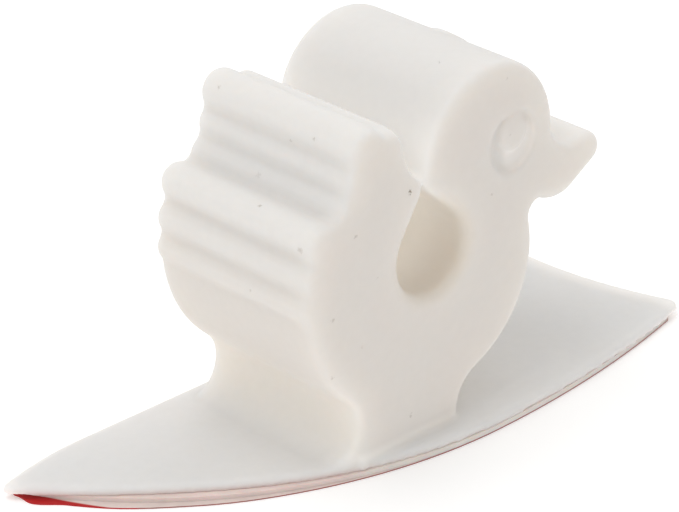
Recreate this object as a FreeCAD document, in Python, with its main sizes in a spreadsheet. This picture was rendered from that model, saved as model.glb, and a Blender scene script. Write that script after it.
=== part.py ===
import FreeCAD, Part
import Sketcher
import math
import os

# Stick-on cord keeper moulded in silicone, shaped as a plain bird seen from the side.
# One side outline runs straight through the full width of the bird. A round bore takes
# the cord, and a slit between the wing tip and the back of the head lets it in.
# The bird stands on a thin silicone pad in one piece with it. An adhesive layer lies
# under the pad, and a release film under the adhesive.
#
# Frame: the origin is on the underside of the film, below the axis of the bore and
# half way across the bird. The beak points to +X, the bore runs along Y, +Z is up.
# Inside each body, heights start at that body's own underside.

SIZES = [
    # layers
    ("film_thickness", 0.1, "release film"),
    ("tape_thickness", 0.3, "adhesive layer"),
    ("plate_thickness", 0.6, "silicone pad"),
    # bird as a whole
    ("bird_width", 14.3, "across the bird, along Y"),
    ("edge_round", 0.75, "rounding of both side faces"),
    # cord bore and entry slit
    ("bore_radius", 2.95, "round part of the cord hole"),
    ("bore_up", 13.4, "bore axis above the silicone underside"),
    ("lip_x", 0.35, "centre of the lip behind the head"),
    ("lip_over", 4.95, "above the bore axis"),
    ("lip_radius", 0.9, ""),
    ("slit_width", 0.25, "between lip and wing tip"),
    ("wing_tip_drop", 0.25, "wing tip below the lip"),
    ("wing_tip_radius", 0.85, ""),
    ("wing_front_radius", 5.0, "shallow hollow of the wing's front edge"),
    # head and beak
    ("head_radius", 5.66, ""),
    ("lip_stand", 0.193, "how far the lip stands out of the head's circle"),
    ("head_lean", 6.6, "degrees by which the head's centre lies above the lip's"),
    ("crease_slack", 0.725, "how much wider than the tightest hollow before the beak"),
    ("beak_ahead", 2.95, "centre of the beak tip in front of the chin's"),
    ("beak_step", -0.2, "and above it"),
    ("beak_radius", 1.1, ""),
    ("chin_lean", 27.1, "degrees by which the chin's centre lies above the chest's"),
    ("chin_radius", 2.8, ""),
    ("throat_gap", 0.7, "between the circles of chin and chest"),
    ("throat_radius", 0.8, "hollow between chin and chest"),
    # body, with the chest standing on the front of the stem
    ("chest_x", 1.4, "centre of the chest curve"),
    ("chest_radius", 7.9, ""),
    ("stem_front", 2.57, "upright front of the stem"),
    ("front_neck_radius", 2.75, "hollow between chest and pad"),
    ("front_neck_up", 1.0, "centre of that hollow"),
    ("rump_x", -0.95, "centre of the rump curve"),
    ("rump_up", 12.7, ""),
    ("rump_radius", 9.8, ""),
    ("rear_flare_radius", 2.6, "hollow between rump and pad"),
    ("rear_flare_sink", 0.05, "how far that hollow dips into the pad"),
    # tail ribs from the bottom up, each placed ahead of and above the one before it
    ("low_rib_a_ahead", 0.75, "lowest rib, from the rearmost place of the rump"),
    ("low_rib_a_step", -0.05, ""),
    ("low_rib_a_radius", 1.1, ""),
    ("low_rib_b_ahead", 0.15, ""),
    ("low_rib_b_step", 2.0, ""),
    ("low_rib_b_radius", 1.15, ""),
    ("low_rib_c_ahead", 0.45, ""),
    ("low_rib_c_step", 2.35, ""),
    ("low_rib_c_radius", 1.25, ""),
    ("top_rib_a_ahead", 2.6, "first rib of the upper tier"),
    ("top_rib_a_step", 1.1, ""),
    ("top_rib_a_radius", 1.3, ""),
    ("top_rib_b_ahead", 0.55, ""),
    ("top_rib_b_step", 2.0, ""),
    ("top_rib_b_radius", 1.1, ""),
    ("top_rib_c_ahead", 0.65, ""),
    ("top_rib_c_step", 2.0, ""),
    ("top_rib_c_radius", 1.45, ""),
    ("crest_ahead", 2.1, "small ridge in front of the top rib"),
    ("crest_step", -0.25, ""),
    ("crest_radius", 0.9, ""),
    ("rib_groove", 0.6, "hollow between two ribs"),
    ("crest_groove", 0.25, "hollow between top rib and ridge"),
    # eye, cut into both side faces
    ("eye_out", 0.32, "from the head's centre to the beak, as a share of its radius"),
    ("eye_drop", 0.12, "below the head's centre"),
    ("eye_radius", 2.08, ""),
    ("eye_depth", 0.35, ""),
    ("pupil_ahead", 0.07, "pupil's centre in front of the eye's"),
    ("pupil_rise", 0.62, "pupil's centre above the eye's"),
    ("pupil_radius", 1.25, "raised disc left standing in the eye"),
    ("eye_soften", 0.12, "rounding of the eye's upper edges"),
    # moulding mark on top of the head
    ("mark_tilt", 35.0, "degrees from upright, towards the beak"),
    ("mark_radius", 1.1, ""),
    ("mark_rise", 0.12, "above the head"),
    ("mark_shift", -0.1, "along Y"),
    # plan outline of pad, adhesive and film
    ("tail_tip_x", -24.6, "long tip behind the bird"),
    ("tail_tip_in", 1.25, "tail tip short of the far side"),
    ("near_bend_x", -12.8, "where the near side starts to curve more"),
    ("near_bend_y", -3.6, ""),
    ("near_belly_x", 4.5, "widest place of the near side"),
    ("near_belly_y", -8.85, ""),
    ("front_tip_x", 25.6, "tip in front of the bird"),
    ("front_tip_y", -6.3, ""),
    ("far_corner_x", 23.35, "front corner of the far side"),
    ("far_corner_y", 8.2, ""),
    ("far_bend_x", -16.6, "where the far side turns to the tail tip"),
    ("far_bend_y", 8.2, ""),
    ("end_hollow", 30.0, "radius of the hollow front end"),
    ("tail_tip_round", 0.4, ""),
    ("front_tip_round", 0.8, ""),
    ("far_corner_round", 1.5, ""),
    ("plate_edge_round", 0.35, "upper edge of the pad"),
    # adhesive and film against that outline
    ("tape_inset", 1.1, "adhesive short of the pad's ends"),
    ("tape_spill", 0.5, "adhesive showing past the near bend"),
    ("film_inset", 0.9, "film short of the pad's ends"),
    ("film_spill", 0.95, "film showing past the near bend"),
]

doc = FreeCAD.newDocument("cord_keeper")
sheet = doc.addObject("Spreadsheet::Sheet", "Sizes")
for row, (alias, value, note) in enumerate(SIZES, start=1):
    sheet.set("A%d" % row, note or alias.replace("_", " "))
    sheet.set("B%d" % row, str(value))
    sheet.setAlias("B%d" % row, alias)
doc.recompute()


def size(alias):
    return float(sheet.get(alias))


def cell(alias):
    return "Sizes." + alias


def origin_plane(body, role):
    for feature in body.Origin.OriginFeatures:
        if feature.Role == role:
            return feature
    raise RuntimeError("no plane " + role)


def new_sketch(body, name, role):
    sketch = body.newObject("Sketcher::SketchObject", name)
    sketch.AttachmentSupport = [(origin_plane(body, role), "")]
    sketch.MapMode = "FlatFace"
    return sketch


def bind(sketch, kind, *place, value, rule):
    """Add a dimension to the sketch and tie it to the sheet."""
    index = sketch.addConstraint(Sketcher.Constraint(kind, *place, value))
    sketch.setExpression("Constraints[%d]" % index, rule)
    return index


def pin_point(sketch, geo, end, spot, rules):
    """Hold one point of the sketch at two sheet values."""
    bind(sketch, "DistanceX", -1, 1, geo, end, value=spot[0], rule=rules[0])
    bind(sketch, "DistanceY", -1, 1, geo, end, value=spot[1], rule=rules[1])


# The head grows away from its lip, so that the slit keeps its width
LIP_RULES = ("Sizes.lip_x", "Sizes.bore_up + Sizes.lip_over")
HEAD_REACH = "(Sizes.head_radius - Sizes.lip_radius + Sizes.lip_stand)"
HEAD_RULES = ("%s + %s * cos(Sizes.head_lean)" % (LIP_RULES[0], HEAD_REACH),
              "%s + %s * sin(Sizes.head_lean)" % (LIP_RULES[1], HEAD_REACH))
EYE_RULES = ("%s + Sizes.head_radius * Sizes.eye_out" % HEAD_RULES[0],
             "%s - Sizes.eye_drop" % HEAD_RULES[1])
PUPIL_RULES = (EYE_RULES[0] + " + Sizes.pupil_ahead", EYE_RULES[1] + " + Sizes.pupil_rise")


def head_centre():
    reach = size("head_radius") - size("lip_radius") + size("lip_stand")
    lean = math.radians(size("head_lean"))
    return (size("lip_x") + reach * math.cos(lean),
            size("bore_up") + size("lip_over") + reach * math.sin(lean))


def eye_circles():
    """Centre, radius, and the rules for the centre of the eye and of the pupil."""
    head = head_centre()
    eye = (head[0] + size("head_radius") * size("eye_out"), head[1] - size("eye_drop"))
    pupil = (eye[0] + size("pupil_ahead"), eye[1] + size("pupil_rise"))
    return (("eye_radius", eye, EYE_RULES), ("pupil_radius", pupil, PUPIL_RULES))


# The side outline is a chain of round stretches, walked from the rear foot over the
# tail and the head to the front foot, with the solid on the right hand. A bulge turns
# right and a hollow turns left. Neighbours touch smoothly, or a straight run joins them.
BULGE, HOLLOW = 1, -1


class Round:
    """One round stretch. Bulges know the rules for their centre, hollows find theirs."""

    def __init__(self, alias, turn, centre=(None, None), rules=None, run_before=False):
        self.turn = turn
        self.radius = size(alias)
        self.radius_rule = cell(alias)
        self.x, self.up = centre
        self.rules = rules
        self.run_before = run_before


def shifted(alias, spot, rules, run_before=False):
    """Bulge ahead of and above a known place."""
    centre = (spot[0] + size(alias + "_ahead"), spot[1] + size(alias + "_step"))
    rules = (rules[0] + " + %s_ahead" % cell(alias), rules[1] + " + %s_step" % cell(alias))
    return Round(alias + "_radius", BULGE, centre, rules, run_before)


def lip_round():
    centre = (size("lip_x"), size("bore_up") + size("lip_over"))
    return Round("lip_radius", BULGE, centre, LIP_RULES, True)


def wing_tip_round(lip):
    back = size("lip_radius") + size("slit_width") + size("wing_tip_radius")
    rules = ("Sizes.lip_x - Sizes.lip_radius - Sizes.slit_width - Sizes.wing_tip_radius",
             LIP_RULES[1] + " - Sizes.wing_tip_drop")
    return Round("wing_tip_radius", BULGE, (lip.x - back, lip.up - size("wing_tip_drop")),
                 rules)


def chest_round():
    """The chest touches the hollow that stands on the front of the stem."""
    reach = size("chest_radius") + size("front_neck_radius")
    aside = size("stem_front") + size("front_neck_radius") - size("chest_x")
    up = size("front_neck_up") + math.sqrt(reach ** 2 - aside ** 2)
    rule = ("Sizes.front_neck_up + sqrt(pow(Sizes.chest_radius + Sizes.front_neck_radius; 2)"
            " - pow(Sizes.stem_front + Sizes.front_neck_radius - Sizes.chest_x; 2))")
    return Round("chest_radius", BULGE, (size("chest_x"), up), ("Sizes.chest_x", rule))


def chin_round(chest):
    reach = size("chest_radius") + size("chin_radius") + size("throat_gap")
    lean = math.radians(size("chin_lean"))
    centre = (chest.x + reach * math.cos(lean), chest.up + reach * math.sin(lean))
    out = "(Sizes.chest_radius + Sizes.chin_radius + Sizes.throat_gap)"
    rules = (chest.rules[0] + " + %s * cos(Sizes.chin_lean)" % out,
             chest.rules[1] + " + %s * sin(Sizes.chin_lean)" % out)
    return Round("chin_radius", BULGE, centre, rules, True)


def crease(head, beak):
    """Hollow that always spans the space left between head and beak."""
    item = Round("crease_slack", HOLLOW)
    gap = math.hypot(beak.x - head.x, beak.up - head.up)
    item.radius += (gap - head.radius - beak.radius) / 2
    item.radius_rule = ("(sqrt(pow(%s - (%s); 2) + pow(%s - (%s); 2))"
                        " - Sizes.head_radius - Sizes.beak_radius) / 2 + Sizes.crease_slack"
                        % (beak.rules[0], head.rules[0], beak.rules[1], head.rules[1]))
    return item


def tail_ribs(rump):
    """Both tiers and the ridge, with a hollow before each."""
    spot = (rump.x - rump.radius, rump.up)
    rules = ("Sizes.rump_x - Sizes.rump_radius", "Sizes.rump_up")
    chain = []
    for alias in ("low_rib_a", "low_rib_b", "low_rib_c", "top_rib_a", "top_rib_b",
                  "top_rib_c", "crest"):
        rib = shifted(alias, spot, rules)
        groove = "crest_groove" if alias == "crest" else "rib_groove"
        chain += [Round(groove, HOLLOW), rib]
        spot, rules = (rib.x, rib.up), rib.rules
    return chain


def place_between(a, blend, b):
    """Centre of a hollow that rolls against two bulges, on the open side."""
    ra = a.radius + blend.radius
    rb = b.radius + blend.radius
    dx, dz = b.x - a.x, b.up - a.up
    gap = math.hypot(dx, dz)
    along = (ra ** 2 - rb ** 2 + gap ** 2) / (2 * gap)
    side = math.sqrt(ra ** 2 - along ** 2)
    blend.x = a.x + (dx * along - dz * side) / gap
    blend.up = a.up + (dz * along + dx * side) / gap


def place_beside(bulge, blend, up, direction):
    """Centre of a foot hollow at a known height, rolling against a bulge."""
    reach = bulge.radius + blend.radius
    blend.up = up
    blend.x = bulge.x + direction * math.sqrt(reach ** 2 - (up - bulge.up) ** 2)


def meeting(a, b):
    """Leaving point on a and arriving point on b."""
    dx, dz = b.x - a.x, b.up - a.up
    gap = math.hypot(dx, dz)
    if not b.run_before:
        spot = (a.x + dx * a.radius / gap, a.up + dz * a.radius / gap)
        return spot, spot
    side_a = -a.radius * a.turn
    side_b = -b.radius * b.turn
    heading = math.atan2(dz, dx) - math.asin((side_b - side_a) / gap)
    left = (-math.sin(heading), math.cos(heading))
    leave = (a.x - left[0] * side_a, a.up - left[1] * side_a)
    arrive = (b.x - left[0] * side_b, b.up - left[1] * side_b)
    return leave, arrive


def add_round(sketch, item, arrive, leave):
    """Arcs are stored left-handed, so a bulge is stored from its end to its start."""
    first, last = (leave, arrive) if item.turn == BULGE else (arrive, leave)
    start = math.atan2(first[1] - item.up, first[0] - item.x)
    stop = math.atan2(last[1] - item.up, last[0] - item.x)
    if stop <= start:
        stop += 2 * math.pi
    circle = Part.Circle(FreeCAD.Vector(item.x, item.up, 0), FreeCAD.Vector(0, 0, 1),
                         item.radius)
    geo = sketch.addGeometry(Part.ArcOfCircle(circle, start, stop), False)
    bind(sketch, "Radius", geo, value=item.radius, rule=item.radius_rule)
    if item.rules:
        pin_point(sketch, geo, 3, (item.x, item.up), item.rules)
    item.geo = geo
    item.way_in, item.way_out = (2, 1) if item.turn == BULGE else (1, 2)


def add_line(sketch, a, b):
    start = FreeCAD.Vector(a[0], a[1], 0)
    stop = FreeCAD.Vector(b[0], b[1], 0)
    return sketch.addGeometry(Part.LineSegment(start, stop), False)


def join(sketch, kind, first, first_end, second, second_end):
    sketch.addConstraint(Sketcher.Constraint(kind, first, first_end, second, second_end))


def bird_outline(sketch):
    plate = size("plate_thickness")
    rump = Round("rump_radius", BULGE, (size("rump_x"), size("rump_up")),
                 (cell("rump_x"), cell("rump_up")))
    rear = Round("rear_flare_radius", HOLLOW)
    rear_up = plate + rear.radius - size("rear_flare_sink")
    place_beside(rump, rear, rear_up, -1)
    bore = Round("bore_radius", HOLLOW, (0.0, size("bore_up")), None, True)
    lip = lip_round()
    head = Round("head_radius", BULGE, head_centre(), HEAD_RULES, True)
    chest = chest_round()
    chin = chin_round(chest)
    beak = shifted("beak", (chin.x, chin.up), chin.rules)
    front = Round("front_neck_radius", HOLLOW)
    place_beside(chest, front, size("front_neck_up"), 1)
    chain = [rear, rump] + tail_ribs(rump) + [
        Round("wing_front_radius", HOLLOW), wing_tip_round(lip), bore, lip,
        head, crease(head, beak), beak,
        chin, Round("throat_radius", HOLLOW), chest, front,
    ]
    for before, item, after in zip(chain, chain[1:], chain[2:]):
        if item.x is None:
            place_between(before, item, after)
    # the rear hollow ends just inside the pad, the front one at its own centre height
    sink = size("rear_flare_sink") * 0.6
    drop = rear.up - (plate - sink)
    foot_x = rear.x + math.sqrt(rear.radius ** 2 - drop ** 2)
    entry = [(foot_x, plate - sink)]
    leaves = []
    for a, b in zip(chain, chain[1:]):
        leave, arrive = meeting(a, b)
        leaves.append(leave)
        entry.append(arrive)
    leaves.append((front.x - front.radius, front.up))
    for item, arrive, leave in zip(chain, entry, leaves):
        add_round(sketch, item, arrive, leave)
    for a, b, leave, arrive in zip(chain, chain[1:], leaves, entry[1:]):
        if b.run_before:
            run = add_line(sketch, leave, arrive)
            join(sketch, "Tangent", a.geo, a.way_out, run, 1)
            join(sketch, "Tangent", run, 2, b.geo, b.way_in)
        else:
            join(sketch, "Tangent", a.geo, a.way_out, b.geo, b.way_in)
    bind(sketch, "DistanceY", -1, 1, bore.geo, 3, value=bore.up, rule=cell("bore_up"))
    sketch.addConstraint(Sketcher.Constraint("PointOnObject", bore.geo, 3, -2))
    rear_rule = "Sizes.plate_thickness + Sizes.rear_flare_radius - Sizes.rear_flare_sink"
    bind(sketch, "DistanceY", -1, 1, rear.geo, 3, value=rear.up, rule=rear_rule)
    foot_rule = "Sizes.plate_thickness - 0.6 * Sizes.rear_flare_sink"
    bind(sketch, "DistanceY", -1, 1, rear.geo, rear.way_in, value=plate - sink,
         rule=foot_rule)
    bind(sketch, "DistanceY", -1, 1, front.geo, 3, value=front.up,
         rule=cell("front_neck_up"))
    # straight sides down to the silicone underside, and the closing run along it
    end_x = front.x - front.radius
    down = add_line(sketch, (end_x, front.up), (end_x, 0.0))
    under = add_line(sketch, (end_x, 0.0), (foot_x, 0.0))
    rise = add_line(sketch, (foot_x, 0.0), (foot_x, plate - sink))
    join(sketch, "Tangent", front.geo, front.way_out, down, 1)
    join(sketch, "Coincident", down, 2, under, 1)
    join(sketch, "Coincident", under, 2, rise, 1)
    join(sketch, "Coincident", rise, 2, rear.geo, rear.way_in)
    sketch.addConstraint(Sketcher.Constraint("Vertical", down))
    sketch.addConstraint(Sketcher.Constraint("Vertical", rise))
    sketch.addConstraint(Sketcher.Constraint("Horizontal", under))
    sketch.addConstraint(Sketcher.Constraint("PointOnObject", under, 1, -1))
    return rear.x + rear.radius


def arc_over(sketch, start, stop, centre):
    """Arc from start round to stop, left-handed about the centre."""
    radius = math.hypot(start[0] - centre[0], start[1] - centre[1])
    circle = Part.Circle(FreeCAD.Vector(centre[0], centre[1], 0),
                         FreeCAD.Vector(0, 0, 1), radius)
    first = math.atan2(start[1] - centre[1], start[0] - centre[0])
    last = math.atan2(stop[1] - centre[1], stop[0] - centre[0])
    if last <= first:
        last += 2 * math.pi
    return sketch.addGeometry(Part.ArcOfCircle(circle, first, last), False)


def belly_centre(bend, belly):
    """Centre above the widest place, as far from it as from the bend."""
    dx, dy = bend[0] - belly[0], bend[1] - belly[1]
    return (belly[0], belly[1] + (dx * dx + dy * dy) / (2 * dy))


def spot_of(alias):
    if alias == "tail_tip":
        return (size("tail_tip_x"), size("far_bend_y") - size("tail_tip_in"))
    return (size(alias + "_x"), size(alias + "_y"))


def rules_of(alias):
    if alias == "tail_tip":
        return (cell("tail_tip_x"), "Sizes.far_bend_y - Sizes.tail_tip_in")
    return (cell(alias + "_x"), cell(alias + "_y"))


def layer_spots(layer):
    """The named plan corners of one layer, each with the rules that hold it."""
    spots = {}
    for word in ("tail_tip", "near_bend", "near_belly", "front_tip", "far_corner",
                 "far_bend"):
        spots[word] = (spot_of(word), rules_of(word))
    if layer:
        inset, spill = layer + "_inset", layer + "_spill"
        shifts = (("tail_tip", 0, 1, inset), ("front_tip", 0, -1, inset),
                  ("far_corner", 0, -1, inset), ("near_bend", 1, -1, spill))
        for word, axis, sign, alias in shifts:
            spot, rules = list(spots[word][0]), list(spots[word][1])
            spot[axis] += sign * size(alias)
            rules[axis] += (" + " if sign > 0 else " - ") + cell(alias)
            spots[word] = (tuple(spot), tuple(rules))
    return spots


def pad_outline(sketch, layer):
    """Pointed plan with a full near side, a straight far side and a hollow front."""
    spots = layer_spots(layer)
    tail, tail_rules = spots["tail_tip"]
    bend, bend_rules = spots["near_bend"]
    front, front_rules = spots["front_tip"]
    corner, corner_rules = spots["far_corner"]
    belly, shoulder = spot_of("near_belly"), spot_of("far_bend")
    middle = belly_centre(bend, belly)
    near = arc_over(sketch, bend, belly, middle)
    # the tail stretch leaves the bend in the same direction
    away = (bend[0] - middle[0], bend[1] - middle[1])
    reach = math.hypot(*away)
    away = (away[0] / reach, away[1] / reach)
    dx, dy = tail[0] - bend[0], tail[1] - bend[1]
    flat = (dx * dx + dy * dy) / (-2 * (dx * away[0] + dy * away[1]))
    tail_side = arc_over(sketch, tail, bend,
                         (bend[0] - away[0] * flat, bend[1] - away[1] * flat))
    front_side = arc_over(sketch, belly, front, belly_centre(front, belly))
    # hollow end, from the far corner down to the front tip, centred beyond the end
    dx, dy = front[0] - corner[0], front[1] - corner[1]
    span = math.hypot(dx, dy)
    off = math.sqrt(size("end_hollow") ** 2 - span ** 2 / 4)
    hub = ((front[0] + corner[0]) / 2 - dy / span * off,
           (front[1] + corner[1]) / 2 + dx / span * off)
    end = arc_over(sketch, corner, front, hub)
    straight = add_line(sketch, corner, shoulder)
    # tail end of the far side, leaving the straight run smoothly
    dx, dy = shoulder[0] - corner[0], shoulder[1] - corner[1]
    length = math.hypot(dx, dy)
    inward = (-dy / length, dx / length)
    tx, ty = tail[0] - shoulder[0], tail[1] - shoulder[1]
    bow = (tx * tx + ty * ty) / (2 * (tx * inward[0] + ty * inward[1]))
    far_tail = arc_over(sketch, shoulder, tail,
                        (shoulder[0] + inward[0] * bow, shoulder[1] + inward[1] * bow))
    pin_point(sketch, near, 1, bend, bend_rules)
    pin_point(sketch, near, 2, belly, rules_of("near_belly"))
    bind(sketch, "DistanceX", -1, 1, near, 3, value=belly[0], rule=cell("near_belly_x"))
    join(sketch, "Tangent", tail_side, 2, near, 1)
    pin_point(sketch, tail_side, 1, tail, tail_rules)
    join(sketch, "Coincident", front_side, 1, near, 2)
    bind(sketch, "DistanceX", -1, 1, front_side, 3, value=belly[0],
         rule=cell("near_belly_x"))
    pin_point(sketch, front_side, 2, front, front_rules)
    join(sketch, "Coincident", end, 2, front_side, 2)
    bind(sketch, "Radius", end, value=size("end_hollow"), rule=cell("end_hollow"))
    pin_point(sketch, end, 1, corner, corner_rules)
    join(sketch, "Coincident", straight, 1, end, 1)
    pin_point(sketch, straight, 2, shoulder, rules_of("far_bend"))
    join(sketch, "Tangent", straight, 2, far_tail, 1)
    join(sketch, "Coincident", far_tail, 2, tail_side, 1)


def checked_sketch(sketch):
    doc.recompute()
    if sketch.solve() != 0:
        raise RuntimeError("sketch %s is not solved" % sketch.Name)
    return sketch


def new_body(name):
    body = doc.addObject("PartDesign::Body", name)
    body.Label = name
    return body


def extrude(body, name, sketch, rule, middle=False):
    pad = body.newObject("PartDesign::Pad", name)
    pad.Profile = sketch
    pad.Length = 1.0
    pad.setExpression("Length", rule)
    if middle:
        pad.SideType = "Symmetric"
    doc.recompute()
    return pad


def upright_edges(shape, spot, reach):
    """Names of the upright edges that stand close to a plan position."""
    names = []
    for number, edge in enumerate(shape.Edges, start=1):
        low, high = edge.BoundBox.ZMin, edge.BoundBox.ZMax
        centre = edge.BoundBox.Center
        away = math.hypot(centre.x - spot[0], centre.y - spot[1])
        if high - low > 0.05 and edge.BoundBox.XLength < 0.01 and away < reach:
            names.append("Edge%d" % number)
    return names


def round_edges(body, name, base, names, rule):
    if not names:
        raise RuntimeError("no edges for " + name)
    fillet = body.newObject("PartDesign::Fillet", name)
    fillet.Base = (base, names)
    fillet.Radius = 0.1
    fillet.setExpression("Radius", rule)
    doc.recompute()
    return fillet


def bevel_edges(body, name, base, names, rule):
    if not names:
        raise RuntimeError("no edges for " + name)
    bevel = body.newObject("PartDesign::Chamfer", name)
    bevel.Base = (base, names)
    bevel.Size = 0.1
    bevel.setExpression("Size", rule)
    doc.recompute()
    return bevel


def flat_edges(shape, levels):
    """Names of the edges that lie whole at one of these distances from mid-width."""
    names = []
    for number, edge in enumerate(shape.Edges, start=1):
        box = edge.BoundBox
        upright = edge.Curve.TypeId == "Part::GeomLine" and box.XLength < 1e-4
        at_level = any(abs(abs(box.Center.y) - level) < 1e-4 for level in levels)
        low = upright and box.ZMin < size("plate_thickness") / 2
        if box.YLength < 1e-4 and at_level and not low and box.ZMax > 1e-4:
            names.append("Edge%d" % number)
    return names


def plan_layer(name, rule, layer=None):
    """Flat layer with the pointed plan outline and rounded corners."""
    body = new_body(name)
    plan = new_sketch(body, name + "_plan", "XY_Plane")
    pad_outline(plan, layer)
    checked_sketch(plan)
    last = extrude(body, name + "_layer", plan, rule)
    spots = layer_spots(layer)
    for word in ("tail_tip", "front_tip", "far_corner"):
        names = upright_edges(last.Shape, spots[word][0], 0.2)
        last = round_edges(body, name + "_" + word, last, names, cell(word + "_round"))
    return body, last


def eye_pocket(body, name, side_sign):
    """Ring cut into one side face, with the pupil left standing in it."""
    sketch = new_sketch(body, name + "_ring", "XZ_Plane")
    half = "Sizes.bird_width / 2" if side_sign > 0 else "-Sizes.bird_width / 2"
    sketch.setExpression("AttachmentOffset.Base.z", half)
    for alias, centre, rules in eye_circles():
        circle = Part.Circle(FreeCAD.Vector(centre[0], centre[1], 0),
                             FreeCAD.Vector(0, 0, 1), size(alias))
        geo = sketch.addGeometry(circle, False)
        pin_point(sketch, geo, 3, centre, rules)
        bind(sketch, "Radius", geo, value=size(alias), rule=cell(alias))
    checked_sketch(sketch)
    before = body.Shape.Volume
    pocket = body.newObject("PartDesign::Pocket", name)
    pocket.Profile = sketch
    pocket.Length = 0.1
    pocket.setExpression("Length", cell("eye_depth"))
    pocket.Reversed = side_sign < 0
    doc.recompute()
    if not before - pocket.Shape.Volume > 0.5:
        raise RuntimeError(name + " cuts nothing")
    return pocket


# Bird: the side outline through the full width, both side faces rounded all the way
bird = new_body("bird_form")
side = new_sketch(bird, "BirdOutline", "XZ_Plane")
stem_rear = bird_outline(side)
checked_sketch(side)
block = extrude(bird, "BirdBlock", side, cell("bird_width"), middle=True)
half_width = size("bird_width") / 2
# three bands of equal turn stand for a round edge: they all touch the same circle
ROUND_CUT = 2 - math.sqrt(2)
ROUND_SOFT = math.tan(math.radians(22.5)) - math.tan(math.radians(11.25))
around = flat_edges(block.Shape, (half_width,))
beveled = bevel_edges(bird, "FaceBevel", block, around,
                      "Sizes.edge_round * %.6f" % ROUND_CUT)
inner = half_width - ROUND_CUT * size("edge_round")
creases = flat_edges(beveled.Shape, (half_width, inner))
bevel_edges(bird, "FaceRounding", beveled, creases,
            "Sizes.edge_round * %.6f" % ROUND_SOFT)

# Rear foot: its near end stops at the near side of the pad
trim = new_sketch(bird, "FootTrim", "XY_Plane")
bend, belly = spot_of("near_bend"), spot_of("near_belly")
hub = belly_centre(bend, belly)
reach = hub[1] - belly[1]
stop = (stem_rear, hub[1] - math.sqrt(reach ** 2 - (stem_rear - hub[0]) ** 2))
curve = arc_over(trim, bend, stop, hub)
outer = belly[1] - 2.0
walls = [add_line(trim, stop, (stop[0], outer)),
         add_line(trim, (stop[0], outer), (bend[0], outer)),
         add_line(trim, (bend[0], outer), bend)]
pin_point(trim, curve, 1, bend, rules_of("near_bend"))
bind(trim, "DistanceX", -1, 1, curve, 3, value=hub[0], rule=cell("near_belly_x"))
bind(trim, "DistanceY", -1, 1, curve, 3, value=hub[1],
     rule="Sizes.near_belly_y + (pow(Sizes.near_bend_x - Sizes.near_belly_x; 2)"
          " + pow(Sizes.near_bend_y - Sizes.near_belly_y; 2))"
          " / (2 * (Sizes.near_bend_y - Sizes.near_belly_y))")
join(trim, "Coincident", curve, 2, walls[0], 1)
join(trim, "Coincident", walls[0], 2, walls[1], 1)
join(trim, "Coincident", walls[1], 2, walls[2], 1)
join(trim, "Coincident", walls[2], 2, curve, 1)
trim.addConstraint(Sketcher.Constraint("Vertical", walls[0]))
trim.addConstraint(Sketcher.Constraint("Horizontal", walls[1]))
trim.addConstraint(Sketcher.Constraint("Vertical", walls[2]))
bind(trim, "DistanceX", -1, 1, walls[0], 1, value=stop[0],
     rule="Sizes.rump_x + Sizes.rear_flare_radius - sqrt(pow(Sizes.rump_radius"
          " + Sizes.rear_flare_radius; 2) - pow(Sizes.plate_thickness"
          " + Sizes.rear_flare_radius - Sizes.rear_flare_sink - Sizes.rump_up; 2))")
bind(trim, "DistanceY", -1, 1, walls[1], 1, value=outer,
     rule="Sizes.near_belly_y - 2")
checked_sketch(trim)
cut = bird.newObject("PartDesign::Pocket", "FootCut")
cut.Profile = trim
cut.Length = 1.0
cut.Reversed = True
cut.setExpression("Length", "Sizes.plate_thickness + Sizes.rear_flare_radius"
                            " - Sizes.rear_flare_sink")
doc.recompute()
waste = Part.Face(trim.Shape.Wires[0]).extrude(FreeCAD.Vector(0, 0, cut.Length.Value))
if cut.Shape.common(waste).Volume > 0.001:
    raise RuntimeError("the foot stands past the pad")

eye_pocket(bird, "NearEye", 1)
last = eye_pocket(bird, "FarEye", -1)
ring_edges = []
for number, edge in enumerate(last.Shape.Edges, start=1):
    on_face = abs(abs(edge.BoundBox.Center.y) - half_width) < 1e-4
    if edge.Curve.TypeId != "Part::GeomCircle" or not on_face:
        continue
    middle = edge.Curve.Center
    for alias, centre, rules in eye_circles():
        away = math.hypot(middle.x - centre[0], middle.z - centre[1])
        if away < 1e-3 and abs(edge.Curve.Radius - size(alias)) < 1e-3:
            ring_edges.append("Edge%d" % number)
bevel_edges(bird, "EyeSoften", last, ring_edges, cell("eye_soften"))

mark = bird.newObject("PartDesign::AdditiveCylinder", "MouldMark")
mark.Radius = 1.0
mark.Height = 5.0
mark.Placement = FreeCAD.Placement(
    FreeCAD.Vector(head_centre()[0], size("mark_shift"), head_centre()[1]),
    FreeCAD.Rotation(FreeCAD.Vector(0, 1, 0), size("mark_tilt")))
mark.setExpression("Radius", cell("mark_radius"))
mark.setExpression("Height", "Sizes.head_radius + Sizes.mark_rise")
mark.setExpression("Placement.Base.x", HEAD_RULES[0])
mark.setExpression("Placement.Base.y", cell("mark_shift"))
mark.setExpression("Placement.Base.z", HEAD_RULES[1])
mark.setExpression("Placement.Rotation.Angle", cell("mark_tilt"))
doc.recompute()

# Pad of the same moulding, with a soft upper edge
pad, plate = plan_layer("pad_form", cell("plate_thickness"))
top = size("plate_thickness")
rim = ["Edge%d" % n for n, e in enumerate(plate.Shape.Edges, start=1)
       if abs(e.BoundBox.ZMin - top) < 1e-4 and abs(e.BoundBox.ZMax - top) < 1e-4]
round_edges(pad, "PadRim", plate, rim, cell("plate_edge_round"))

keeper = doc.addObject("Part::Fuse", "keeper_body")
keeper.Label = "keeper_body"
keeper.Base = pad
keeper.Tool = bird
keeper.setExpression("Placement.Base.z", "Sizes.film_thickness + Sizes.tape_thickness")

tape, _ = plan_layer("adhesive_pad", cell("tape_thickness"), "tape")
tape.setExpression("Placement.Base.z", cell("film_thickness"))

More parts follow.
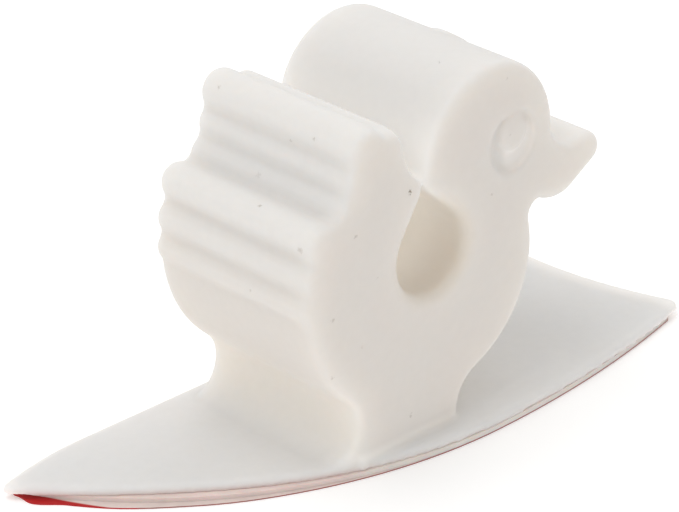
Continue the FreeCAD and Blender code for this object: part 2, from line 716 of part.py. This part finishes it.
film, _ = plan_layer("release_liner", cell("film_thickness"), "film")
doc.recompute()

# Everything is checked before anything is written
for item in doc.Objects:
    if "Invalid" in item.State or "Error" in item.State:
        raise RuntimeError("%s failed" % item.Name)
nodes = (keeper, tape, film)
for node in nodes:
    if node.Shape.isNull() or not node.Shape.isValid() or len(node.Shape.Solids) != 1:
        raise RuntimeError("%s has no sound solid" % node.Label)

os.makedirs("parts", exist_ok=True)
for node in nodes:
    node.Shape.exportStep("parts/%s.step" % node.Label)
    box = node.Shape.BoundBox
    print(node.Label, "volume %.2f" % node.Shape.Volume,
          "x %.2f..%.2f y %.2f..%.2f z %.2f..%.2f" % (
              box.XMin, box.XMax, box.YMin, box.YMax, box.ZMin, box.ZMax))
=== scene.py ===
import bpy
from mathutils import Matrix, Vector

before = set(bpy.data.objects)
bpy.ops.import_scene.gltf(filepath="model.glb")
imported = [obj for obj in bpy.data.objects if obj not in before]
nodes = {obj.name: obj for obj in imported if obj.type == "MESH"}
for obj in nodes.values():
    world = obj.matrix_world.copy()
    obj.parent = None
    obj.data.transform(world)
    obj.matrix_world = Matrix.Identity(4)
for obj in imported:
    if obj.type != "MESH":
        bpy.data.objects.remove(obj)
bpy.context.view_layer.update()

MM = 0.001

# Places in millimetres on the finished part. Those seen from the side have width 0. A range
# of two numbers says where an effect begins and where it is full, in that order.
BORE_MIDDLE = (0.0, 0.0, 13.8)
SLIT_MIDDLE = (-0.6, 0.0, 19.4)
EYE_MIDDLE = (7.86, 0.0, 18.89)
EYE_CRESCENT = (8.26, 0.0, 18.29)
SIDE_FACE = 7.15
PAD_TOP = 1.0
FILM_TOP = (0.08, 0.095)
BEHIND_STEM = (-4.0, -9.0)


# ---------------------------------------------------------------- node helpers
def node(tree, kind, **settings):
    made = tree.nodes.new(kind)
    for name, value in settings.items():
        setattr(made, name, value)
    return made


def wire(tree, out, into):
    tree.links.new(out, into)


def feed(tree, socket, value):
    """Link a socket to another, or give it a plain value."""
    if isinstance(value, bpy.types.NodeSocket):
        wire(tree, value, socket)
    else:
        socket.default_value = value


def new_group(name, kind, *sockets):
    """A node group, its input and its output. Each socket is given as way, label, type."""
    tree = bpy.data.node_groups.new(name, kind)
    for way, label, socket in sockets:
        tree.interface.new_socket(label, in_out=way, socket_type=socket)
    return tree, node(tree, "NodeGroupInput"), node(tree, "NodeGroupOutput")


def maths(tree, operation, a, b=0.0):
    made = node(tree, "ShaderNodeMath", operation=operation)
    feed(tree, made.inputs[0], a)
    feed(tree, made.inputs[1], b)
    return made.outputs[0]


def product(tree, *values):
    total = values[0]
    for value in values[1:]:
        total = maths(tree, "MULTIPLY", total, value)
    return total


def rest_of(tree, amount):
    """1 less the amount."""
    return maths(tree, "SUBTRACT", 1.0, amount)


def between(tree, amount, low, high):
    """Low where the amount is 0, high where it is 1."""
    return maths(tree, "ADD", product(tree, amount, high - low), low)


def ramp(tree, value, start, stop):
    """Rises smoothly from 0 at start to 1 at stop, whichever of the two is larger."""
    made = node(tree, "ShaderNodeMapRange", clamp=True, interpolation_type="SMOOTHSTEP")
    rising = stop > start
    made.inputs["From Min"].default_value = start if rising else stop
    made.inputs["From Max"].default_value = stop if rising else start
    made.inputs["To Min"].default_value = 0.0 if rising else 1.0
    made.inputs["To Max"].default_value = 1.0 if rising else 0.0
    feed(tree, made.inputs["Value"], value)
    return made.outputs["Result"]


def distance(tree, place, spot):
    made = node(tree, "ShaderNodeVectorMath", operation="DISTANCE")
    wire(tree, place, made.inputs[0])
    made.inputs[1].default_value = spot
    return made.outputs["Value"]


def flattened(tree, px=None, py=None, pz=None):
    """Place with one of its three numbers left out, as seen along that direction."""
    made = node(tree, "ShaderNodeCombineXYZ")
    for socket, value in zip(made.inputs, (px, py, pz)):
        if value is not None:
            wire(tree, value, socket)
    return made.outputs[0]


def in_mm(tree, place):
    """A place in metres turned into millimetres, whole and split."""
    scaled = node(tree, "ShaderNodeVectorMath", operation="SCALE")
    scaled.inputs["Scale"].default_value = 1.0 / MM
    wire(tree, place, scaled.inputs[0])
    split = node(tree, "ShaderNodeSeparateXYZ")
    wire(tree, scaled.outputs[0], split.inputs[0])
    return scaled.outputs[0], tuple(split.outputs)


def object_mm(tree):
    return in_mm(tree, node(tree, "ShaderNodeTexCoord").outputs["Object"])


def tint(tree, under, colour, amount):
    """Lay a plain colour over a colour, by an amount from 0 to 1."""
    made = node(tree, "ShaderNodeMix", data_type="RGBA")
    feed(tree, made.inputs[0], amount)
    # sockets 6 and 7 are the two colours, and output 2 is their mix
    feed(tree, made.inputs[6], under)
    made.inputs[7].default_value = (*colour, 1.0)
    return made.outputs[2]


def noise(tree, place, scale, detail=2.0):
    made = node(tree, "ShaderNodeTexNoise")
    made.inputs["Scale"].default_value = scale
    made.inputs["Detail"].default_value = detail
    wire(tree, place, made.inputs["Vector"])
    return made


def bumpy(tree, shader, height, strength, depth_mm):
    made = node(tree, "ShaderNodeBump")
    made.inputs["Strength"].default_value = strength
    made.inputs["Distance"].default_value = depth_mm * MM
    wire(tree, height, made.inputs["Height"])
    wire(tree, made.outputs[0], shader.inputs["Normal"])


def principled(name, roughness, **sockets):
    """A material whose glow lights only its own surface."""
    material = bpy.data.materials.new(name)
    material.use_nodes = True
    material.cycles.emission_sampling = "NONE"
    shader = material.node_tree.nodes["Principled BSDF"]
    shader.inputs["Roughness"].default_value = roughness
    for socket, value in sockets.items():
        shader.inputs[socket.replace("_", " ")].default_value = value
    return material, material.node_tree, shader


def linear(red, green, blue):
    """Screen colour 0 to 255 as linear light."""
    return tuple(((v / 255 + 0.055) / 1.055) ** 2.4 if v > 10 else v / 255 / 12.92
                 for v in (red, green, blue))


# ------------------------------------------- effects that the materials share
def uneven_group():
    """Slight mottling and fine height that the silicone, adhesive and film all have.

    Colour out is colour in times 1 plus mottle times (noise less one half)."""
    tree, entry, leave = new_group("moulded_unevenness", "ShaderNodeTree",
                                   ("INPUT", "Place", "NodeSocketVector"),
                                   ("INPUT", "Colour", "NodeSocketColor"),
                                   ("INPUT", "Scale", "NodeSocketFloat"),
                                   ("INPUT", "Mottle", "NodeSocketFloat"),
                                   ("OUTPUT", "Colour", "NodeSocketColor"),
                                   ("OUTPUT", "Height", "NodeSocketFloat"))
    grain = noise(tree, entry.outputs["Place"], 1.0, 3.0)
    wire(tree, entry.outputs["Scale"], grain.inputs["Scale"])
    swing = maths(tree, "SUBTRACT", grain.outputs["Fac"], 0.5)
    factor = maths(tree, "ADD", product(tree, swing, entry.outputs["Mottle"]), 1.0)
    scaled = node(tree, "ShaderNodeVectorMath", operation="SCALE")
    wire(tree, entry.outputs["Colour"], scaled.inputs[0])
    wire(tree, factor, scaled.inputs["Scale"])
    wire(tree, scaled.outputs[0], leave.inputs["Colour"])
    wire(tree, grain.outputs["Fac"], leave.inputs["Height"])
    return tree


def behind_stem_group():
    """How far behind the stem a place is, where the adhesive turns from pale to pink."""
    tree, entry, leave = new_group("behind_stem", "ShaderNodeTree",
                                   ("INPUT", "Along", "NodeSocketFloat"),
                                   ("OUTPUT", "Amount", "NodeSocketFloat"))
    wire(tree, ramp(tree, entry.outputs["Along"], *BEHIND_STEM), leave.inputs["Amount"])
    return tree


UNEVEN_GROUP = uneven_group()
BEHIND_STEM_GROUP = behind_stem_group()


def uneven(tree, place, colour, scale, mottle):
    """Places the shared group, and gives its colour and height."""
    made = node(tree, "ShaderNodeGroup", node_tree=UNEVEN_GROUP)
    wire(tree, place, made.inputs["Place"])
    wire(tree, colour, made.inputs["Colour"])
    made.inputs["Scale"].default_value = scale
    made.inputs["Mottle"].default_value = mottle
    return made.outputs["Colour"], made.outputs["Height"]


def behind_stem(tree, px):
    made = node(tree, "ShaderNodeGroup", node_tree=BEHIND_STEM_GROUP)
    wire(tree, px, made.inputs["Along"])
    return made.outputs["Amount"]


# ------------------------------------------------------------------ soft edges
# The skin's step is the finest that keeps the silicone under 200,000 triangles. It is too
# coarse for the slit, whose narrowest part it bridges.
SKIN_STEP = 0.205
SOFT_ROUNDS = 14
SOFT_WIDTH = (-5.15, -6.65)
SOFT_TAIL = (1.0, -3.0)
SOFT_BEHIND_BEAK = (12.0, 9.0)
SOFT_OVER_PAD = (PAD_TOP + 0.6, PAD_TOP + 2.4)
SOFT_AROUND_EYE = (2.5, 3.4)
SHARE_AT_HEAD = 0.3
SHARE_AT_EYE = 0.4

SHAPE_SOCKETS = (("INPUT", "Geometry", "NodeSocketGeometry"),
                 ("OUTPUT", "Geometry", "NodeSocketGeometry"))


def soften(piece):
    """One even skin over the silicone, whose near corners melt into the side face.

    Each point moves part of the way to the average of its surroundings. The part rises
    from 0 in mid-width to 1 at the near face behind the bore, and to less at the head."""
    skin = piece.modifiers.new("skin", "REMESH")
    skin.mode = "VOXEL"
    skin.voxel_size = SKIN_STEP * MM
    skin.use_smooth_shade = True
    tree, entry, leave = new_group("soft_corners", "GeometryNodeTree", *SHAPE_SOCKETS)
    place = node(tree, "GeometryNodeInputPosition").outputs[0]
    px, py, pz = in_mm(tree, place)[1]
    from_eye = distance(tree, flattened(tree, px=px, pz=pz), EYE_MIDDLE)
    amount = product(tree, ramp(tree, py, *SOFT_WIDTH),
                     between(tree, ramp(tree, px, *SOFT_TAIL), SHARE_AT_HEAD, 1.0),
                     ramp(tree, pz, *SOFT_OVER_PAD),
                     between(tree, ramp(tree, from_eye, *SOFT_AROUND_EYE), SHARE_AT_EYE, 1.0),
                     ramp(tree, px, *SOFT_BEHIND_BEAK))
    averages = []
    for rounds in (1, SOFT_ROUNDS):
        blur = node(tree, "GeometryNodeBlurAttribute", data_type="FLOAT_VECTOR")
        blur.inputs["Iterations"].default_value = rounds
        wire(tree, place, [s for s in blur.inputs if s.enabled and s.type == "VECTOR"][0])
        averages.append([s for s in blur.outputs if s.enabled][0])
    mix = node(tree, "ShaderNodeMix", data_type="VECTOR")
    wire(tree, amount, mix.inputs[0])
    # sockets 4 and 5 are the two places, and output 1 is their mix
    wire(tree, averages[0], mix.inputs[4])
    wire(tree, averages[1], mix.inputs[5])
    move = node(tree, "GeometryNodeSetPosition")
    wire(tree, entry.outputs[0], move.inputs["Geometry"])
    wire(tree, mix.outputs[1], move.inputs["Position"])
    wire(tree, move.outputs[0], leave.inputs[0])
    piece.modifiers.new("soft_corners", "NODES").node_group = tree


soften(nodes["keeper_body"])

# ------------------------------------------------------------- loose film edge
# the arc of the pad's near rim under the tail, as the solid has it
RIM_CENTRE = (-1.179, 17.381, 0.0)
RIM_RADIUS = 24.82
TIP_BEGINS = (-23.56, -22.9)
TIP_HANGS = (-21.8, -22.9)
TIP_MOVE = 0.38
TAIL_HANGS = (-16.5, -20.5)
TAIL_MOVE = 0.23
RIM_CUTS = 3


def loosen(piece):
    """Let the film's near rim hang out past the pad under the tail tip.

    Each rim point moves straight away from the centre of the rim's arc. The move is 0.6 mm
    near the tip, falls to 0.2 mm, and fades out towards the belly of the pad."""
    tree, entry, leave = new_group("loose_film", "GeometryNodeTree", *SHAPE_SOCKETS)
    px, py, pz = in_mm(tree, node(tree, "GeometryNodeInputPosition").outputs[0])[1]
    flat = flattened(tree, px=px, py=py)
    away = node(tree, "ShaderNodeVectorMath", operation="SUBTRACT")
    wire(tree, flat, away.inputs[0])
    away.inputs[1].default_value = RIM_CENTRE
    direction = node(tree, "ShaderNodeVectorMath", operation="NORMALIZE")
    wire(tree, away.outputs[0], direction.inputs[0])
    on_rim = ramp(tree, distance(tree, flat, RIM_CENTRE), RIM_RADIUS - 0.3, RIM_RADIUS - 0.02)
    hang = maths(tree, "ADD", product(tree, ramp(tree, px, *TIP_HANGS), TIP_MOVE),
                 product(tree, ramp(tree, px, *TAIL_HANGS), TAIL_MOVE))
    move = product(tree, hang, ramp(tree, px, *TIP_BEGINS), on_rim, MM)
    offset = node(tree, "ShaderNodeVectorMath", operation="SCALE")
    wire(tree, direction.outputs[0], offset.inputs[0])
    wire(tree, move, offset.inputs["Scale"])
    finer = node(tree, "GeometryNodeSubdivideMesh")
    finer.inputs["Level"].default_value = RIM_CUTS
    wire(tree, entry.outputs[0], finer.inputs["Mesh"])
    shift = node(tree, "GeometryNodeSetPosition")
    wire(tree, finer.outputs["Mesh"], shift.inputs["Geometry"])
    wire(tree, offset.outputs[0], shift.inputs["Offset"])
    wire(tree, shift.outputs[0], leave.inputs[0])
    piece.modifiers.new("loose_film", "NODES").node_group = tree


loosen(nodes["release_liner"])

# -------------------------------------------------------------------- silicone
# painted light: the top colour is greyer where light falls and the low colour lighter where
# light comes through the thin pad; the body colour is the silicone's own, warmed for the
# shade
LIT_TOP_PAINTED = linear(226, 224, 221)
BODY_COLOUR = linear(226, 221, 215)
LOW_PAINTED_LIGHT = linear(243, 238, 231)
WARM_COLOUR = linear(222, 212, 197)
PINK_COLOUR = linear(214, 172, 166)
PALE_PINK = linear(228, 214, 207)
PIT_COLOUR = linear(148, 136, 124)
BORE_GLOW = (0.20, 0.195, 0.182)
SLIT_GLOW = (0.105, 0.103, 0.10)
EDGE_GLOW = (0.09, 0.08, 0.076)
EYE_GLOW = (0.075, 0.07, 0.066)

ON_SIDE = (6.5, 7.1)
UPPER = (10.0, 20.0)
LOWER = (8.0, 3.5)
STEM_ABOVE_PAD = (PAD_TOP + 0.2, PAD_TOP + 1.0)
BORE_WALL = (4.1, 2.9)
BORE_DEPTH = (SIDE_FACE, 2.0)
LOW_EDGE = (0.95, 0.4)
SLIT_REACH = (4.6, 1.2)
CRESCENT_REACH = (2.2, 1.4)
EYE_BELOW_FACE = (SIDE_FACE - 0.05, SIDE_FACE - 0.25)
EYE_ABOVE_CORE = (SIDE_FACE - 1.2, SIDE_FACE - 0.9)

# small pits and marks in the skin: place, reach and strength
PITS = (
    ((-2.3, -7.1, 18.8), 0.20, 0.9),
    ((3.6, -3.8, 24.7), 0.14, 0.3),
    ((6.3, -7.1, 23.8), 0.14, 0.36),
    ((5.1, -7.2, 16.2), 0.14, 0.3),
    ((-8.9, -7.0, 8.1), 0.20, 0.3),
    ((-6.5, -7.2, 9.5), 0.14, 0.24),
    ((-2.1, -7.2, 2.9), 0.20, 0.3),
    ((-9.0, -7.1, 12.3), 0.20, 0.3),
    ((-7.1, -7.2, 17.4), 0.16, 0.36),
    ((-10.6, -5.9, 17.2), 0.28, 0.3),
    ((-9.9, -1.6, 18.5), 0.20, 0.42),
    ((-7.9, 0.6, 19.2), 0.24, 0.18),
    ((-6.9, -1.3, 21.9), 0.16, 0.3),
    ((-7.0, -3.5, 22.7), 0.16, 0.3),
    ((-11.1, -1.9, 13.2), 0.14, 0.3),
    ((-6.8, 5.4, 23.3), 0.16, 0.3),
    ((-5.2, -7.2, 13.9), 0.14, 0.24),
    ((6.7, -7.2, 19.8), 0.12, 0.36),
)
PIT_CORE = 0.3

silicone, tree, shader = principled("silicone", 0.55, IOR=1.42, Specular_IOR_Level=0.3,
                                    Emission_Strength=1.0, Subsurface_Weight=0.8,
                                    Subsurface_Scale=2.8 * MM)
shader.inputs["Subsurface Radius"].default_value = (1.0, 0.9, 0.8)
place, (px, py, pz) = object_mm(tree)
from_middle = maths(tree, "ABSOLUTE", py)
side_view = flattened(tree, px=px, pz=pz)
on_side = ramp(tree, from_middle, *ON_SIDE)

# painted light and shade: greyer on top where the light falls, warmer body colour below in
# the shade, and lighter low down for light carried through the thin pad, but not on the side
# faces of the stem
upper = product(tree, ramp(tree, pz, *UPPER), rest_of(tree, on_side))
colour = tint(tree, (*BODY_COLOUR, 1.0), LIT_TOP_PAINTED, upper)
stem_side = product(tree, on_side, ramp(tree, pz, *STEM_ABOVE_PAD))
low = product(tree, ramp(tree, pz, *LOWER), rest_of(tree, stem_side))
colour = tint(tree, colour, LOW_PAINTED_LIGHT, low)

# light gathers warm inside the bore
in_bore = ramp(tree, distance(tree, side_view, BORE_MIDDLE), *BORE_WALL)
colour = tint(tree, colour, WARM_COLOUR, product(tree, in_bore, 0.5))

# the adhesive shows pink through the lower edge of the pad
low_edge = ramp(tree, pz, *LOW_EDGE)
pink_share = between(tree, behind_stem(tree, px), 0.1, 0.45)
colour = tint(tree, colour, PINK_COLOUR, product(tree, low_edge, pink_share))

# painted light: a glow, for light that the silicone carries, lifts the shade in the bore,
# near the slit, on a lit crescent low in the ring of the eye and along the lower edge
deep = product(tree, in_bore, ramp(tree, from_middle, *BORE_DEPTH))
glow = tint(tree, (0.0, 0.0, 0.0, 1.0), BORE_GLOW, deep)
near_slit = ramp(tree, distance(tree, side_view, SLIT_MIDDLE), *SLIT_REACH)
glow = tint(tree, glow, SLIT_GLOW, product(tree, near_slit, rest_of(tree, on_side)))
crescent = product(tree, ramp(tree, distance(tree, side_view, EYE_CRESCENT), *CRESCENT_REACH),
                   ramp(tree, from_middle, *EYE_BELOW_FACE),
                   ramp(tree, from_middle, *EYE_ABOVE_CORE))
glow = tint(tree, glow, EYE_GLOW, crescent)
wire(tree, tint(tree, glow, EDGE_GLOW, low_edge), shader.inputs["Emission Color"])

# faint pink clouds on the sides
clouds = ramp(tree, noise(tree, place, 0.16, 1.0).outputs["Fac"], 0.45, 0.68)
colour = tint(tree, colour, PALE_PINK, product(tree, clouds, on_side, 0.08))

# pits, whose places are shaken by up to a quarter of a millimetre to fray their edges
shake = node(tree, "ShaderNodeVectorMath", operation="MULTIPLY_ADD")
wire(tree, noise(tree, place, 6.0).outputs["Color"], shake.inputs[0])
shake.inputs[1].default_value = (0.5, 0.5, 0.5)
shake.inputs[2].default_value = (-0.25, -0.25, -0.25)
frayed = node(tree, "ShaderNodeVectorMath", operation="ADD")
wire(tree, place, frayed.inputs[0])
wire(tree, shake.outputs[0], frayed.inputs[1])
pitted = 0.0
for spot, reach, strength in PITS:
    near = ramp(tree, distance(tree, frayed.outputs[0], spot), reach, reach * PIT_CORE)
    pitted = maths(tree, "MAXIMUM", pitted, product(tree, near, strength))
colour = tint(tree, colour, PIT_COLOUR, pitted)

colour, height = uneven(tree, place, colour, 1.6, 0.04)
wire(tree, colour, shader.inputs["Base Color"])
relief = maths(tree, "SUBTRACT", product(tree, height, 0.12), pitted)
bumpy(tree, shader, relief, 1.0, 0.05)

# -------------------------------------------------------------------- adhesive
ADHESIVE_PALE = linear(218, 211, 205)
ADHESIVE_PINK = linear(220, 203, 197)
adhesive, tree, shader = principled("adhesive", 0.5, Emission_Strength=1.0,
                                    Subsurface_Weight=0.3, Subsurface_Scale=0.3 * MM)
# painted light: a faint even glow lifts the adhesive's shade, for light carried through it
shader.inputs["Emission Color"].default_value = (0.05, 0.046, 0.044, 1.0)
place, (px, py, pz) = object_mm(tree)
colour = tint(tree, (*ADHESIVE_PALE, 1.0), ADHESIVE_PINK, behind_stem(tree, px))
colour, height = uneven(tree, place, colour, 0.9, 0.22)
wire(tree, colour, shader.inputs["Base Color"])
bumpy(tree, shader, height, 0.6, 0.03)

# ------------------------------------------------------------------------ film
# The film is bright red where it is loose under the tail tip, in a band that narrows away
# from the tip. The rest of its margin is pale, with a darker cut edge.
FILM_RED = linear(180, 14, 20)
FILM_MARGIN = linear(222, 206, 200)
FILM_EDGE = linear(158, 96, 90)
BAND_STARTS_AT = 23.0
BAND_NARROWS = 0.28
BAND_INNER_EDGE = (-0.6, -0.4)
RED_ENDS = (-17.5, -18.5)
film, tree, shader = principled("film", 0.35, Specular_IOR_Level=0.3)
place, (px, py, pz) = object_mm(tree)
colour = tint(tree, (*FILM_EDGE, 1.0), FILM_MARGIN, ramp(tree, pz, *FILM_TOP))
from_rim_centre = distance(tree, flattened(tree, px=px, py=py), RIM_CENTRE)
past_rim = maths(tree, "SUBTRACT", from_rim_centre, RIM_RADIUS)
narrowing = product(tree, maths(tree, "ADD", px, BAND_STARTS_AT), BAND_NARROWS)
in_band = ramp(tree, maths(tree, "SUBTRACT", past_rim, narrowing), *BAND_INNER_EDGE)
cut_edge = ramp(tree, pz, *reversed(FILM_TOP))
loose = maths(tree, "MAXIMUM", in_band, cut_edge)
ragged = maths(tree, "ADD", px, product(tree, noise(tree, place, 1.2).outputs["Fac"], 2.0))
red = product(tree, loose, ramp(tree, ragged, *RED_ENDS))
colour, height = uneven(tree, place, tint(tree, colour, FILM_RED, red), 0.9, 0.3)
wire(tree, colour, shader.inputs["Base Color"])
bumpy(tree, shader, height, 0.5, 0.02)

for name, material in (("keeper_body", silicone), ("adhesive_pad", adhesive),
                       ("release_liner", film)):
    slots = nodes[name].data.materials
    slots.clear()
    slots.append(material)

# ---------------------------------------------------------------------- studio
ROOM_COLOUR = (1.0, 0.995, 0.99, 1.0)
ROOM_STRENGTH = 0.65
FLOOR_HALF = 1.5
LAMPS_AIM = (0.0, 0.0, 0.01)
# name, place and size in metres, power in watts
LAMPS = (
    ("overhead", (-0.10, 0.05, 0.34), 0.30, 0.38),
    ("far_side", (0.22, 0.14, 0.26), 0.30, 0.20),
    ("tail_side", (-0.27, -0.19, 0.13), 0.22, 0.07),
)

world = bpy.data.worlds.new("studio")
bpy.context.scene.world = world
world.use_nodes = True
room = world.node_tree.nodes["Background"]
room.inputs["Color"].default_value = ROOM_COLOUR
room.inputs["Strength"].default_value = ROOM_STRENGTH

for name, spot, size, power in LAMPS:
    data = bpy.data.lights.new(name, "AREA")
    data.shape = "DISK"
    data.size = size
    data.energy = power
    lamp = bpy.data.objects.new(name, data)
    bpy.context.scene.collection.objects.link(lamp)
    lamp.location = spot
    lamp.rotation_mode = "QUATERNION"
    lamp.rotation_quaternion = (Vector(LAMPS_AIM) - Vector(spot)).to_track_quat("-Z", "Y")

floor_mesh = bpy.data.meshes.new("floor")
floor_mesh.from_pydata([(-FLOOR_HALF, -FLOOR_HALF, 0), (FLOOR_HALF, -FLOOR_HALF, 0),
                        (FLOOR_HALF, FLOOR_HALF, 0), (-FLOOR_HALF, FLOOR_HALF, 0)],
                       [], [(0, 1, 2, 3)])
floor = bpy.data.objects.new("floor", floor_mesh)
bpy.context.scene.collection.objects.link(floor)
paper, tree, shader = principled("paper", 0.9, Emission_Strength=0.14)
shader.inputs["Emission Color"].default_value = (1.0, 1.0, 1.0, 1.0)
shader.inputs["Base Color"].default_value = (0.98, 0.98, 0.98, 1.0)
floor_mesh.materials.append(paper)

# ---------------------------------------------------------------------- camera
# a long lens from the tail side, worked out from the outlines of the part
RIGHT = Vector((0.7145, -0.6997, 0.0))
UP = Vector((0.3122, 0.3188, 0.8949))
AHEAD = Vector((0.6261, 0.6394, -0.4462))
CAMERA_PLACE = Vector((-142.28, -143.81, 111.90)) * MM
camera_data = bpy.data.cameras.new("camera")
camera_data.sensor_width = 36.0
camera_data.lens = 185.57
camera_data.clip_start = 0.01
camera = bpy.data.objects.new("camera", camera_data)
bpy.context.scene.collection.objects.link(camera)
turn = Matrix((RIGHT, UP, -AHEAD)).transposed().to_4x4()
camera.matrix_world = Matrix.Translation(CAMERA_PLACE) @ turn
bpy.context.scene.camera = camera
bpy.context.scene.view_settings.view_transform = "Standard"
